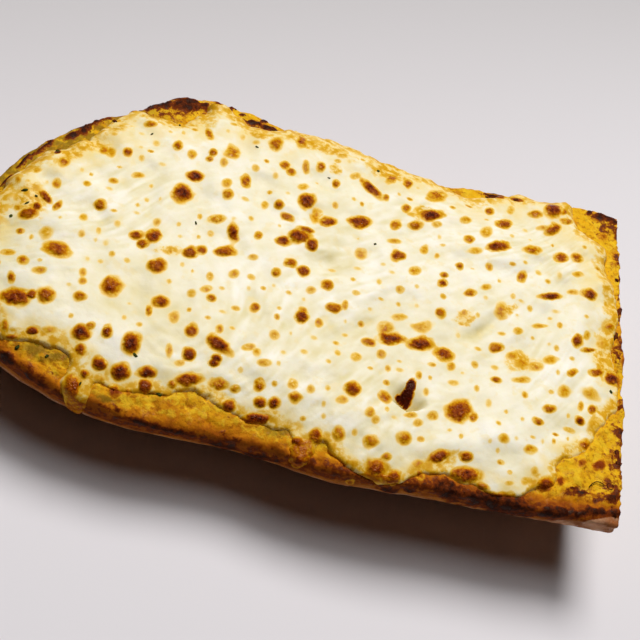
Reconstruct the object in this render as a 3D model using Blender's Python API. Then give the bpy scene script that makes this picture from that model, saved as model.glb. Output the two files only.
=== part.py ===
"""Cheese bread: half of a short loaf, cut side up, under a layer of melted cheese.

The loaf was cut along its length, so a rounded heel ends it at -X and a straight, slightly skewed
slice at +X. Its crust curves under to a flat foot. Lengths are in metres and +Z is up. The origin
lies on the foot's plane, under the middle of the loaf.
"""

import bmesh
import bpy
import numpy as np

# The loaf's plan: a station is an X measured on the centre line, and the far side is +Y.
TIP_X = -0.0762
CUT_X = 0.0717
TIP_Y = -0.0135
FAR_Y = 0.0430
NEAR_LEFT_Y = -0.0440
NEAR_RIGHT_Y = -0.0478
HEEL_FAR_X = -0.0300
HEEL_NEAR_X = -0.0320
CUT_SKEW = 0.104
SKEW_FROM_X = -0.0100

# The loaf's section: rim of the cut side, crown between the rims, crust below.
RIM_Z = 0.0220
WAIST_Z = 0.0140
CROWN = 0.0012
RIM_ROUND_FAR = 0.0040
RIM_ROUND_LEFT = 0.0046
RIM_ROUND_RIGHT = 0.0020
NEAR_TIGHT = 0.2
NEAR_SLOPE = 5.0
BELLY_FULLNESS = 1.10
RIDGE_X = -0.0285
RIDGE_HEIGHT = 0.0015

# The cheese.
CHEESE_MID = 0.0032
CHEESE_EDGE = 0.0009
CHEESE_EDGE_ROUND = 0.0045
CHEESE_START_X = -0.0700
CHEESE_END_X = 0.0675
GAP = 0.00035

# A pit where the bread is hollow under the cheese.
PIT_X = 0.0180
PIT_Y = -0.0325
PIT_RADIUS = 0.0046
PIT_DEPTH = 0.0065

# How far the cheese stays inside the loaf's edge, as (station, distance) pairs along each side.
NEAR_MARGIN = (
    (-0.070, 0.0050), (-0.062, 0.0026), (-0.052, 0.0050), (-0.044, 0.0032), (-0.027, 0.0052),
    (-0.009, 0.0026), (0.000, 0.0018), (0.003, 0.0021), (0.010, 0.0006), (0.021, 0.0005),
    (0.029, 0.0019), (0.045, 0.0006), (0.054, 0.0030), (0.060, 0.0110), (0.067, 0.0230),
)
FAR_MARGIN = (
    (-0.070, 0.0120), (-0.060, 0.0140), (-0.049, 0.0100), (-0.043, 0.0060), (-0.034, 0.0110),
    (-0.027, 0.0050), (-0.016, 0.0088), (-0.008, 0.0020), (0.006, 0.0012), (0.014, 0.0045),
    (0.026, 0.0040), (0.035, 0.0085), (0.046, 0.0042), (0.056, 0.0015), (0.061, 0.0080),
    (0.067, 0.0160),
)

STATION_STEP = 0.0030
CHEESE_ROWS = 24
RIM_POINTS = 4
BELLY_POINTS = 12


def bump(x, centre, width):
    """A smooth hill of height 1."""
    return np.exp(-(((x - centre) / width) ** 2))


def ramp(x, start, end):
    """0 before start, 1 after end, smooth between."""
    t = np.clip((x - start) / (end - start), 0.0, 1.0)
    return t * t * (3.0 - 2.0 * t)


def heel(s, start, power):
    """How much of the loaf is left at a station: 1 up to the heel, 0 at its tip."""
    reach = np.clip((start - s) / (start - TIP_X), 0.0, 1.0)
    return (1.0 - reach**power) ** (1.0 / power)


def far_edge(s):
    y = FAR_Y + 0.0045 * bump(s, -0.0285, 0.011) + 0.0033 * bump(s, -0.0145, 0.0065)
    y = y + 0.0012 * ramp(s, -0.034, -0.020) * (1.0 - ramp(s, 0.014, 0.023)) + 0.0010 * bump(s, 0.0, 0.008)
    y = y - 0.0027 * bump(s, 0.0245, 0.0105) + 0.0024 * ramp(s, 0.056, 0.064)
    return TIP_Y + (y - TIP_Y) * heel(s, HEEL_FAR_X, 1.65)


def near_edge(s):
    y = NEAR_LEFT_Y + (NEAR_RIGHT_Y - NEAR_LEFT_Y) * ramp(s, -0.015, 0.012)
    return TIP_Y + (y - TIP_Y) * heel(s, HEEL_NEAR_X, 1.8)


def rim_height(s):
    return WAIST_Z + (RIM_Z - WAIST_Z) * heel(s, -0.031, 4.0)


def base_height(s):
    """The crust's lowest line, which lifts off at the heel."""
    return WAIST_Z * (1.0 - heel(s, -0.039, 2.2))


def rim_round(s):
    """How far the cut side drops at its rims at a station, far and near."""
    near = RIM_ROUND_LEFT + (RIM_ROUND_RIGHT - RIM_ROUND_LEFT) * ramp(s, -0.009, 0.026)
    far_scale = np.maximum(heel(s, HEEL_FAR_X, 2.0), 0.1)
    near_scale = np.maximum(heel(s, HEEL_NEAR_X, 2.0), 0.1)
    return RIM_ROUND_FAR * far_scale, near * near_scale


def rolled(distance, radius):
    """How far a rim of this radius has dropped at a distance from the edge."""
    t = np.clip(1.0 - distance / radius, 0.0, 1.0)
    return radius * (1.0 - np.sqrt(1.0 - t * t))


def near_drop(distance, drop):
    """How far the near rim has dropped: a long slope that ends in a tight round."""
    slope = np.clip(1.0 - distance / (NEAR_SLOPE * drop), 0.0, 1.0)
    return (1.0 - NEAR_TIGHT) * drop * slope**2 + rolled(distance, NEAR_TIGHT * drop)


def pit(s, y, depth, radius):
    return depth * np.exp(-((s - PIT_X) ** 2 + (y - PIT_Y) ** 2) / radius**2)


def cut_side(s, y):
    """Height of the bread's cut side."""
    far, near = far_edge(s), near_edge(s)
    round_far, round_near = rim_round(s)
    width = far - near
    across = np.clip((2.0 * y - far - near) / width, -1.0, 1.0)
    crown = CROWN * (1.0 - across**2) * np.minimum(1.0, width / 0.070)
    ridge = RIDGE_HEIGHT * bump(s, RIDGE_X, 0.013) * (1.0 - ramp(far - y, 0.002, 0.014))
    rims = rolled(np.maximum(far - y, 0.0), round_far)
    rims = rims + near_drop(np.maximum(y - near, 0.0), round_near)
    return rim_height(s) + crown + ridge - rims - pit(s, y, PIT_DEPTH, PIT_RADIUS)


def belly(s, across):
    """Height of the crust below, with across running from -1 at the near edge to 1 at the far one."""
    round_far, round_near = rim_round(s)
    widest = rim_height(s) - 0.5 * (round_near + round_far) + 0.5 * (round_near - round_far) * across
    depth = np.minimum(1.0, BELLY_FULLNESS * np.sqrt(np.maximum(1.0 - across**2, 0.0)))
    return widest - (widest - base_height(s)) * depth


def in_space(s, y, z):
    """Points of a station, skewed more and more towards the slice."""
    s, y, z = np.broadcast_arrays(s, y, z)
    return np.stack([s + CUT_SKEW * ramp(s, SKEW_FROM_X, CUT_X) * y, y, z], axis=-1)


def eased(s, pairs):
    """The second value of the pairs at a station, with a soft lobe at each pair."""
    at, values = np.transpose(pairs)
    i = np.clip(np.searchsorted(at, s) - 1, 0, len(at) - 2)
    return values[i] + (values[i + 1] - values[i]) * ramp(s, at[i], at[i + 1])


def margins(s):
    """Far and near limits of the cheese at a station."""
    far, near = far_edge(s), near_edge(s)
    most = 0.42 * (far - near)
    return far - np.minimum(eased(s, FAR_MARGIN), most), near + np.minimum(eased(s, NEAR_MARGIN), most)


def rows_under_cheese(s):
    """Y of each row between the cheese's margins, closer together towards them."""
    far, near = margins(s)
    t = 0.5 - 0.5 * np.cos(np.linspace(0.0, np.pi, CHEESE_ROWS + 1))
    return far + (near - far) * t


def bread_section(s):
    """One closed ring: far rim, rows under the cheese, near rim, then the crust below."""
    far, near = far_edge(s), near_edge(s)
    rows = rows_under_cheese(s)
    k = 1.0 - np.cos(np.linspace(0.0, np.pi / 2.0, RIM_POINTS + 1)[:-1])
    over = np.concatenate([far + (rows[0] - far) * k, rows, (near + (rows[-1] - near) * k)[::-1]])
    under = -np.cos(np.linspace(0.0, np.pi, BELLY_POINTS + 2)[1:-1])
    top = in_space(s, over, cut_side(s, over))
    bottom = in_space(s, 0.5 * (far + near) + 0.5 * (far - near) * under, belly(s, under))
    return np.concatenate([top, bottom])


def cheese_section(s):
    """One closed ring of cheese: its underside, row for row as the bread's, then its top back."""
    y = rows_under_cheese(s)
    under = cut_side(s, y) + GAP
    to_side = np.minimum(y[0] - y, y - y[-1])
    to_margin = np.minimum(to_side, min(s - CHEESE_START_X, CHEESE_END_X - s))
    t = np.clip(1.0 - to_margin / CHEESE_EDGE_ROUND, 0.0, 1.0)
    thick = CHEESE_EDGE + (CHEESE_MID - CHEESE_EDGE) * np.sqrt(1.0 - t * t)
    return np.concatenate([in_space(s, y, under), in_space(s, y, under + thick)[::-1]])


def stations():
    """Stations of the bread, those of the cheese among them, closer together towards the tip."""
    count = round((CHEESE_END_X - CHEESE_START_X) / STATION_STEP)
    cheese = np.linspace(CHEESE_START_X, CHEESE_END_X, count + 1)
    tip = TIP_X + (CHEESE_START_X - TIP_X) * np.array([0.04, 0.16, 0.36, 0.64])
    slice_end = np.array([0.5 * (CHEESE_END_X + CUT_X), CUT_X])
    return np.concatenate([tip, cheese, slice_end]), cheese


def loft(name, rings, collection):
    """A closed solid through rings of equally many points, with a flat face at both ends."""
    bm = bmesh.new()
    verts = [[bm.verts.new(point) for point in ring] for ring in rings]
    for one, two in zip(verts, verts[1:]):
        for i in range(len(one)):
            j = (i + 1) % len(one)
            bm.faces.new((one[i], one[j], two[j], two[i]))
    bm.faces.new(verts[0][::-1])
    bm.faces.new(verts[-1])
    bmesh.ops.triangulate(bm, faces=[f for f in bm.faces if len(f.verts) == 4], quad_method="FIXED")
    bmesh.ops.triangulate(bm, faces=[f for f in bm.faces if len(f.verts) > 4])
    bmesh.ops.recalc_face_normals(bm, faces=bm.faces)
    mesh = bpy.data.meshes.new(name)
    bm.to_mesh(mesh)
    bm.free()
    mesh.shade_smooth()
    mesh.set_sharp_from_angle(angle=np.radians(50.0))
    part = bpy.data.objects.new(name, mesh)
    collection.objects.link(part)
    return part


def paint(part, colour, roughness):
    material = bpy.data.materials.new(part.name)
    material.use_nodes = True
    shader = material.node_tree.nodes["Principled BSDF"]
    shader.inputs["Base Color"].default_value = (*colour, 1.0)
    shader.inputs["Roughness"].default_value = roughness
    shader.inputs["Metallic"].default_value = 0.0
    part.data.materials.append(material)


def main():
    for old in list(bpy.data.objects):
        bpy.data.objects.remove(old, do_unlink=True)
    collection = bpy.data.collections.new("cheese_bread")
    bpy.context.scene.collection.children.link(collection)
    bread_stations, cheese_stations = stations()
    bread = loft("bread", [bread_section(s) for s in bread_stations], collection)
    paint(bread, (0.50, 0.26, 0.05), 0.7)
    cheese = loft("cheese", [cheese_section(s) for s in cheese_stations], collection)
    paint(cheese, (0.92, 0.80, 0.53), 0.4)


main()
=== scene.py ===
"""Looks of the cheese bread: half of a short loaf, cut side up, under browned melted cheese.

The loaf and the cheese are modelled here as fine meshes on the same sections as the solids, and
stand for them. Lengths are in metres. Pixel places are (x, y) in the photo's 640 x 640 frame, read
off it. Each one is carried along its line of sight to the loaf, so what it places lies on the surface.
"""

import bpy
import numpy as np
from mathutils import Matrix, Vector
from mathutils.bvhtree import BVHTree


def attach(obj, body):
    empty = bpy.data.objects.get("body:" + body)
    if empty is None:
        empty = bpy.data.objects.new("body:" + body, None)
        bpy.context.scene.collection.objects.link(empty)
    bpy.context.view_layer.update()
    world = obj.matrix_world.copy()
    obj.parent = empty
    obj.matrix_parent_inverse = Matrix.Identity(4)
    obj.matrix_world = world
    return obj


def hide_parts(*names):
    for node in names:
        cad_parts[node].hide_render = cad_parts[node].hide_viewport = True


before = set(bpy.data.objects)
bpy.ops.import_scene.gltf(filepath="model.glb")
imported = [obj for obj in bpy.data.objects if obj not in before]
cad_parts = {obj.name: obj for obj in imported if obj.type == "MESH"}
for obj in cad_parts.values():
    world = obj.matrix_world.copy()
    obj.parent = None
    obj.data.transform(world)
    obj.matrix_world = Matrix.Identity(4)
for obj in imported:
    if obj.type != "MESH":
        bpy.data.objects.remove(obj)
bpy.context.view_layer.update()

MM = 0.001
SEED = 7

# The loaf's plan, as in the solids. s runs along it from the tip of the heel to the slice.
TIP_X = -0.0762
CUT_X = 0.0717
TIP_Y = -0.0135
FAR_Y = 0.0430
NEAR_LEFT_Y = -0.0440
NEAR_RIGHT_Y = -0.0478
NEAR_TURN = (-0.015, 0.012)
CUT_SKEW = 0.104
SKEW_FROM_X = -0.0100
# Where each side of the heel starts to round off, and how full it is.
HEEL_FAR = (-0.0300, 1.65)
HEEL_NEAR = (-0.0320, 1.8)
# Bulges and dips of the far edge: (where, how wide, how far out), and its steps: (from, to, how far out).
FAR_BULGES = (
    (-0.0285, 0.0110, 0.0045), (-0.0145, 0.0065, 0.0033), (0.0, 0.0080, 0.0010), (0.0245, 0.0105, -0.0027),
)
FAR_STEPS = ((-0.034, -0.020, 0.0012), (0.014, 0.023, -0.0012), (0.056, 0.064, 0.0024))

# The loaf's section, as in the solids.
RIM_Z = 0.0220
WAIST_Z = 0.0140
RIM_FALL = (-0.031, 4.0)
BASE_RISE = (-0.039, 2.2)
CROWN = 0.0012
CROWN_WIDTH = 0.070
RIM_ROUND_FAR = 0.0040
RIM_ROUND_LEFT = 0.0046
RIM_ROUND_RIGHT = 0.0020
ROUND_TURN = (-0.009, 0.026)
ROUND_POWER = 2.0
LEAST_ROUND = 0.1
NEAR_TIGHT = 0.2
NEAR_SLOPE = 5.0
BELLY_FULLNESS = 1.10
RIDGE_X = -0.0285
RIDGE_WIDTH = 0.013
RIDGE_HEIGHT = 0.0015
RIDGE_FADE = (0.002, 0.014)

# The melted layer.
CHEESE_THICK = 0.0029
NEAR_THINNER = 0.0013
NEAR_LIP = 0.0005
FAR_LIP = 0.0013
LIP_ROUND = 0.0006
FAR_REACH = 0.0050
NEAR_REACH = 0.0200
CHEESE_START = -0.0748
CHEESE_LENGTH = 0.1456
CHEESE_GIRTH = 0.116
CHEESE_STEP = 0.00041
BLOCK = 4
# The hidden end of the cheese's outline, on the heel: (s, t).
HEEL_MARGIN = ((-0.0690, -0.0080), (-0.0712, -0.0150), (-0.0695, -0.0215))
PIT_DEPTH = 0.0034
PIT_WIDTH = 0.0030
PIT_LENGTH = 0.0036
# A spot reaches no farther over a steep face than this many times its longer radius in the photo.
MOST_STRETCH = 1.7
# Blisters wider than this are less ragged for their size.
ROUND_RADIUS = 0.0011
SMALL_BLISTERS = 2400
HIDDEN_HEEL_S = -0.064

# The bare bread.
# How far the near rim is burnt upwards, and where its plain crust starts, in mm along the loaf.
BURN_AT = (-0.060, -0.030, 0.0, 0.020, 0.056, 0.066)
BURN_LIFT = (0.8, 0.6, 1.0, 2.4, 2.6, 3.4)
CRUST_AT = (-0.030, 0.035, 0.052, 0.060, 0.066, 0.070)
CRUST_LINE = (-5.0, -5.0, -4.0, -1.6, 0.6, 2.0)
# How far the near belly is drawn in and up at the slice, and the slice's face bulges.
TUCK = (0.0, 0.0009, 0.0012)
TUCK_BACK = 0.0020
SLICE_BULGE = 0.0007
SLICE_CENTRE_Z = 0.0120
SLICE_RINGS = 24
STEM_RADIUS = 0.11 * MM
RING_THICKNESS = 0.13 * MM
FLOOR_SIDE = 3.0
# The lengths that fill a texture map of the loaf and of the cheese.
LOAF_MAP = 0.250
CHEESE_MAP = 0.150

# Colours of the bread's skin by how far inside its rim they lie, in mm; below zero is the side.
RIM_SPAN = 18.0
RIM_COLOURS = (
    (-6.0, (0.44, 0.17, 0.04)), (-4.2, (0.16, 0.030, 0.003)), (-1.4, (0.11, 0.018, 0.003)),
    (-0.2, (0.30, 0.065, 0.003)), (1.0, (0.56, 0.20, 0.003)), (2.6, (0.70, 0.34, 0.005)),
    (6.0, (0.74, 0.40, 0.008)),
)
CHAR_COLOURS = ((0.20, (0.44, 0.12, 0.003)), (0.45, (0.18, 0.030, 0.002)), (0.85, (0.030, 0.005, 0.002)))
BLISTER_COLOURS = ((0.25, (0.74, 0.36, 0.01)), (0.45, (0.46, 0.15, 0.002)), (0.70, (0.22, 0.032, 0.001)))
# Colours of the cheese: plain, from painted shade in dips to painted highlight on crests, and browned from
# barely warm to burnt.
CREAM_AND_SHADE_COLOURS = (
    (0.00, (0.36, 0.22, 0.015)), (0.30, (0.60, 0.47, 0.16)), (0.55, (0.75, 0.66, 0.37)),
    (0.80, (0.86, 0.80, 0.60)), (1.00, (0.93, 0.89, 0.77)),
)
BROWNED_COLOURS = (
    (0.00, (0.90, 0.76, 0.42)), (0.08, (0.86, 0.66, 0.26)), (0.16, (0.79, 0.50, 0.09)),
    (0.24, (0.70, 0.38, 0.018)), (0.33, (0.61, 0.28, 0.002)), (0.43, (0.53, 0.19, 0.001)),
    (0.54, (0.43, 0.12, 0.001)), (0.66, (0.32, 0.068, 0.001)), (0.80, (0.22, 0.030, 0.001)),
    (1.00, (0.060, 0.005, 0.001)),
)

# The camera: its place is worked out from the photo's perspective.
TARGET = np.array((0.0005, -0.0150, 0.0255))
AZIMUTH = np.radians(-18.7)
ELEVATION = np.radians(46.0)
ROLL = np.radians(26.5)
DISTANCE = 0.312
LENS = 85.0
SENSOR = 36.0
FRAME_PX = 640

# Soft lights: name, place, what it aims at, diameter, watts, colour.
LIGHTS = (
    ("key", (0.14, 0.57, 1.16), (0.02, -0.02, 0.02), 0.68, 15.8, (1.0, 0.985, 0.97)),
    ("overhead", (0.16, 0.16, 1.50), (0.02, -0.02, 0.0), 0.90, 6.4, (1.0, 0.99, 0.98)),
    ("front", (0.35, -0.70, 1.10), (0.0, 0.0, 0.0), 0.60, 0.10, (1.0, 0.99, 0.98)),
)

# Outline of the cheese in the photo, from the near left round the slice to the far left: (x, y).
MARGIN = (
    (0, 338), (20, 341), (50, 343), (68, 352), (73, 364), (64, 378), (61, 396), (67, 409), (77, 414),
    (87, 404), (91, 382), (102, 382), (118, 393), (135, 389), (150, 390), (165, 397), (180, 388), (205, 395),
    (215, 404), (232, 414), (262, 426), (275, 429), (290, 430), (292, 445), (290, 462), (304, 466),
    (312, 450), (322, 440), (330, 452), (345, 468), (360, 478), (376, 482), (395, 484), (410, 478),
    (425, 472), (440, 472), (460, 482), (480, 489), (505, 498), (525, 494), (536, 486), (548, 492),
    (556, 480), (556, 462), (575, 456), (588, 448), (598, 434), (605, 420), (613, 412), (620, 404),
    (622, 397), (618, 389), (617, 380), (615, 370), (610, 361), (608, 351), (611, 343), (616, 333),
    (617, 320), (615, 306), (610, 293), (603, 280), (604, 262), (600, 250), (584, 240), (574, 226),
    (567, 209), (553, 203), (520, 200), (503, 199), (490, 201), (470, 203), (451, 196), (436, 183),
    (412, 177), (392, 170), (372, 166), (352, 152), (326, 143), (290, 133), (275, 136), (262, 135),
    (245, 128), (230, 113), (210, 104), (206, 112), (198, 119), (185, 126), (160, 123), (145, 115),
    (132, 113), (120, 119), (111, 128), (102, 134), (90, 144), (75, 150), (60, 156), (48, 156), (34, 164),
    (18, 176), (0, 190),
)

# Browned blisters in the photo: (x, y, width, height) and, where it matters, the turn in degrees.
DARK = (
    (182, 193, 17, 15), (136, 235, 11, 9), (154, 236, 12, 10), (142, 244, 10, 8), (100, 205, 10, 10),
    (57, 250, 22, 13, -15), (111, 286, 19, 15), (156, 265, 16, 12), (190, 253, 13, 10), (195, 176, 14, 10),
    (28, 213, 18, 12, 15), (46, 197, 7, 16, 40), (37, 206, 9, 9), (17, 297, 26, 14), (46, 295, 17, 13),
    (31, 295, 12, 8), (307, 201, 16, 13), (299, 236, 20, 10), (283, 240, 12, 8), (312, 245, 11, 10),
    (233, 232, 10, 17), (224, 252, 21, 9), (372, 189, 22, 8, -40), (329, 222, 15, 8), (361, 222, 20, 10),
    (431, 215, 20, 10), (497, 246, 17, 9), (505, 224, 14, 8), (553, 210, 14, 12), (553, 230, 16, 9, 20),
    (398, 255, 12, 9), (551, 296, 17, 6), (590, 294, 13, 9, -35), (577, 341, 9, 11), (612, 379, 12, 11),
    (420, 344, 20, 11), (444, 354, 16, 12, -20), (391, 339, 21, 11), (302, 317, 12, 12), (304, 271, 10, 9),
    (218, 344, 24, 12, -35), (216, 358, 9, 7), (213, 363, 9, 7), (161, 302, 16, 11), (81, 333, 16, 15),
    (107, 331, 9, 11), (131, 343, 17, 18), (189, 354, 12, 12), (189, 379, 22, 12), (147, 373, 18, 11),
    (145, 385, 13, 12), (120, 373, 17, 16), (114, 392, 15, 14), (84, 374, 10, 9, -45), (100, 364, 13, 12),
    (72, 389, 17, 30), (229, 406, 13, 12), (257, 419, 27, 10), (274, 403, 11, 10), (260, 403, 13, 11),
    (353, 389, 15, 12), (459, 411, 22, 19), (376, 468, 20, 17), (394, 477, 12, 11), (545, 485, 20, 15),
    (561, 481, 9, 12), (599, 465, 13, 10), (466, 475, 26, 15), (441, 456, 20, 11, 20), (298, 460, 10, 12),
    (316, 436, 12, 15), (296, 441, 13, 8), (33, 331, 12, 8), (580, 421, 9, 7, -40), (467, 457, 13, 10),
)
BROWN = (
    (64, 162, 12, 9), (104, 150, 8, 8), (128, 152, 8, 7), (150, 124, 11, 6), (178, 146, 8, 8),
    (209, 134, 6, 12, 30), (213, 153, 6, 8), (210, 159, 7, 6), (57, 206, 6, 11, -45), (20, 231, 9, 6),
    (22, 260, 10, 9), (11, 277, 7, 9), (80, 296, 11, 8), (202, 250, 10, 8), (232, 152, 12, 11),
    (246, 181, 9, 12), (228, 194, 11, 9), (276, 144, 12, 12), (302, 141, 9, 11), (285, 165, 9, 8),
    (291, 172, 8, 7), (321, 167, 9, 9), (336, 184, 8, 8), (392, 179, 10, 9), (408, 184, 9, 8),
    (386, 197, 6, 6), (279, 204, 9, 9), (287, 217, 14, 7, -20), (217, 219, 15, 8), (258, 236, 7, 7),
    (307, 230, 15, 5, -10), (396, 225, 10, 8), (415, 225, 13, 8), (406, 208, 9, 7), (436, 196, 15, 10),
    (489, 211, 8, 7), (534, 214, 13, 7), (564, 212, 8, 5), (567, 222, 11, 6), (469, 239, 9, 6),
    (533, 250, 14, 7), (561, 258, 13, 8), (577, 258, 13, 8, -30), (602, 237, 12, 9), (522, 276, 9, 11, -30),
    (460, 266, 6, 7), (444, 275, 7, 5), (443, 283, 9, 7), (470, 293, 9, 6), (440, 313, 10, 9),
    (328, 285, 11, 9), (290, 263, 11, 7), (276, 273, 8, 8), (255, 307, 9, 8), (333, 308, 14, 8),
    (368, 342, 13, 7, -20), (496, 348, 13, 8), (550, 296, 15, 5), (610, 327, 9, 9), (589, 350, 13, 4),
    (596, 372, 13, 7), (572, 373, 8, 7), (496, 380, 12, 6, -15), (549, 409, 13, 8), (538, 422, 9, 6, -30),
    (585, 444, 12, 10), (581, 464, 9, 8), (473, 418, 8, 8), (483, 487, 14, 7, -25), (420, 475, 8, 12),
    (387, 457, 10, 7), (338, 434, 13, 13), (295, 397, 10, 10), (260, 385, 9, 11, -30), (235, 389, 10, 7),
    (219, 385, 18, 11), (385, 397, 12, 9, -30), (128, 392, 9, 9), (172, 385, 9, 8), (149, 311, 6, 9),
    (81, 349, 10, 12), (90, 326, 11, 7, 30), (191, 331, 12, 12), (211, 298, 9, 7), (13, 337, 13, 6),
    (370, 441, 12, 11), (405, 438, 13, 14), (218, 386, 12, 10), (350, 482, 8, 7), (592, 409, 8, 8),
    (5, 325, 8, 13), (624, 337, 6, 13), (620, 360, 6, 14),
)
AMBER = (
    (111, 152, 9, 9), (192, 154, 8, 8), (138, 175, 11, 5), (157, 222, 8, 8), (83, 217, 8, 7),
    (18, 207, 9, 7), (46, 232, 12, 12), (40, 270, 12, 7), (8, 252, 13, 5), (83, 281, 8, 7), (83, 272, 6, 9),
    (210, 276, 7, 9), (191, 293, 8, 8), (206, 289, 10, 6), (18, 179, 7, 9), (37, 170, 10, 6),
    (57, 184, 8, 9), (224, 162, 8, 8, -45), (227, 183, 9, 9), (306, 167, 6, 12), (355, 176, 9, 6),
    (303, 187, 11, 6), (315, 215, 7, 16), (265, 205, 7, 8), (253, 257, 9, 6), (394, 241, 12, 5),
    (361, 254, 10, 9), (415, 271, 11, 8), (400, 289, 8, 7), (311, 290, 9, 7), (234, 274, 10, 9),
    (437, 224, 9, 6), (511, 210, 7, 9), (466, 220, 11, 7), (486, 233, 11, 10), (475, 251, 13, 6),
    (542, 228, 10, 5), (578, 274, 10, 6), (424, 250, 8, 8), (486, 287, 9, 6), (572, 292, 11, 5),
    (501, 311, 12, 14), (423, 327, 18, 9), (386, 328, 14, 12), (451, 367, 9, 8), (518, 331, 9, 8),
    (541, 326, 16, 4), (512, 356, 12, 9), (521, 363, 16, 9), (536, 366, 14, 8, -10), (550, 359, 12, 8),
    (587, 335, 6, 9), (603, 344, 14, 9), (521, 380, 16, 6), (565, 391, 12, 11), (590, 394, 18, 11, -30),
    (433, 416, 10, 8), (418, 423, 9, 7), (410, 415, 12, 5), (504, 438, 10, 9), (530, 449, 12, 8),
    (569, 430, 12, 5, -20), (581, 406, 6, 10), (594, 424, 12, 11), (418, 465, 12, 10), (509, 483, 10, 5),
    (527, 481, 10, 8), (535, 472, 8, 10), (370, 413, 10, 10, 45), (375, 420, 8, 9), (342, 399, 10, 8),
    (310, 389, 7, 8), (293, 384, 8, 9), (249, 347, 12, 7), (257, 352, 9, 8), (264, 363, 12, 7),
    (275, 335, 9, 8), (220, 329, 7, 9), (381, 354, 9, 9), (356, 357, 10, 8), (399, 317, 14, 6),
    (319, 322, 7, 8), (345, 305, 6, 9), (174, 318, 10, 11), (169, 350, 6, 12), (49, 330, 16, 9),
    (100, 379, 14, 7), (180, 363, 9, 6), (354, 464, 10, 8),
)
# Patches in the same form: burnt; golden melt; rust brown; brown drips; melt left pale; oily crumb, one of
# these a painted shadow under the melt's edge.
CHAR = (
    (6, 180, 22, 3, 42), (24, 161, 30, 3, 40), (45, 147, 26, 3, 34), (72, 136, 18, 7, 15),
    (86, 129, 17, 11, 30), (97, 121, 12, 4, 35), (109, 116, 8, 7), (58, 152, 9, 4, 10),
    (160, 106, 36, 12, 8), (186, 105, 40, 14), (203, 106, 12, 10, -25), (128, 111, 28, 3, 3),
    (220, 103, 13, 3, -5), (232, 108, 7, 6), (242, 115, 8, 5), (264, 121, 9, 6), (252, 123, 22, 7, -18),
    (271, 130, 22, 7, -18), (493, 196, 24, 4, -8), (517, 200, 15, 4, -14), (589, 213, 7, 5),
    (603, 218, 24, 8, -15), (612, 223, 7, 6), (602, 236, 13, 8, -15), (618, 278, 4, 10), (616, 297, 3, 6),
    (624, 338, 5, 14), (620, 359, 5, 10), (618, 430, 3, 10), (616, 454, 5, 14), (619, 463, 6, 9),
    (582, 492, 20, 4, -8), (573, 489, 10, 3, -20), (612, 499, 18, 10, -20), (576, 514, 22, 7, -4),
    (593, 512, 34, 11, -2), (612, 513, 22, 8), (448, 490, 50, 24, -22), (500, 503, 104, 22, -13),
    (554, 512, 48, 15, -6), (409, 490, 16, 6, -10), (388, 489, 26, 6, -8), (262, 456, 46, 6, -14),
    (220, 443, 46, 7, -14), (160, 426, 110, 6, -14), (8, 358, 26, 14, -40), (36, 379, 46, 8, -32),
    (60, 393, 22, 7, -35),
)
GOLD = (
    (80, 385, 26, 60), (300, 452, 36, 44), (330, 452, 34, 34), (270, 415, 34, 14, -15), (335, 169, 14, 12),
    (381, 164, 20, 9, -25), (322, 147, 90, 12, -18), (385, 172, 50, 14, -25), (178, 119, 56, 9, 3),
    (258, 135, 24, 7, -15), (603, 360, 20, 50), (598, 430, 22, 30), (586, 455, 24, 18), (548, 482, 24, 12),
    (378, 474, 40, 18, -10), (440, 462, 40, 18, 15), (470, 478, 34, 14), (592, 230, 40, 44),
    (607, 290, 10, 60), (150, 390, 60, 14, -5), (75, 152, 60, 14, 30), (520, 360, 40, 20, -10),
    (465, 318, 18, 18), (510, 309, 26, 10, 20), (30, 200, 44, 40), (40, 335, 50, 14), (425, 213, 30, 16),
    (315, 214, 10, 20), (170, 250, 26, 12),
)
RUST = (
    (598, 499, 40, 16, -6), (613, 464, 14, 40), (578, 493, 34, 10, -8), (615, 430, 8, 20),
    (613, 352, 14, 26), (606, 226, 26, 20, -15), (155, 424, 80, 8, -13), (30, 372, 76, 14, -35),
    (230, 440, 60, 10, -15), (100, 121, 60, 7, 18), (40, 152, 60, 6, 36), (178, 114, 60, 10, 4),
    (300, 462, 60, 12, -18), (612, 488, 18, 46), (498, 503, 140, 30, -13), (334, 468, 60, 22, -20),
    (410, 487, 50, 9, -10), (262, 130, 40, 8, -18), (110, 408, 30, 8, -20),
)
DRIPS = ((77, 411, 40, 28), (300, 456, 34, 34), (330, 462, 26, 24, -20), (378, 478, 46, 10, -8))
PALE = ((506, 486, 66, 30), (606, 392, 16, 12), (20, 322, 30, 16))
WET_AND_SHADOW = ((43, 352, 58, 20, -8), (276, 431, 34, 14, -12), (105, 399, 26, 8, -10))
# Where the melt is pressed in or bulges, its dips in painted shade: (x, y, width, height, turn, lift in mm).
FOLDS = (
    (484, 329, 46, 16, 35, -0.9), (508, 338, 40, 24, 20, 0.5), (386, 413, 30, 18, 0, 0.6),
    (315, 213, 14, 26, 0, -0.9), (104, 225, 34, 34, 0, -0.5), (405, 396, 12, 22, -15, -1.6),
    (420, 404, 14, 10, 0, -1.0), (498, 436, 74, 40, 0, 0.8), (140, 265, 130, 130, 0, -0.5),
    (440, 345, 60, 30, 20, -0.3), (360, 300, 70, 18, 25, 0.3), (350, 330, 70, 14, 25, -0.3),
    (255, 330, 60, 16, 40, 0.3), (455, 445, 60, 22, 10, 0.3), (230, 380, 60, 20, -20, 0.4),
)
# The pit: the dark slit in it, in the same form as the blisters, and its near lip from the left.
PIT_SLIT = ((411, 386, 9, 13, -15), (407, 395, 11, 15, -18), (402, 400, 14, 9, -32), (406, 403, 7, 12, -10))
PIT_LIP = ((384, 402), (391, 400), (400, 405), (407, 411), (417, 410), (428, 407), (438, 403))
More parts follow.
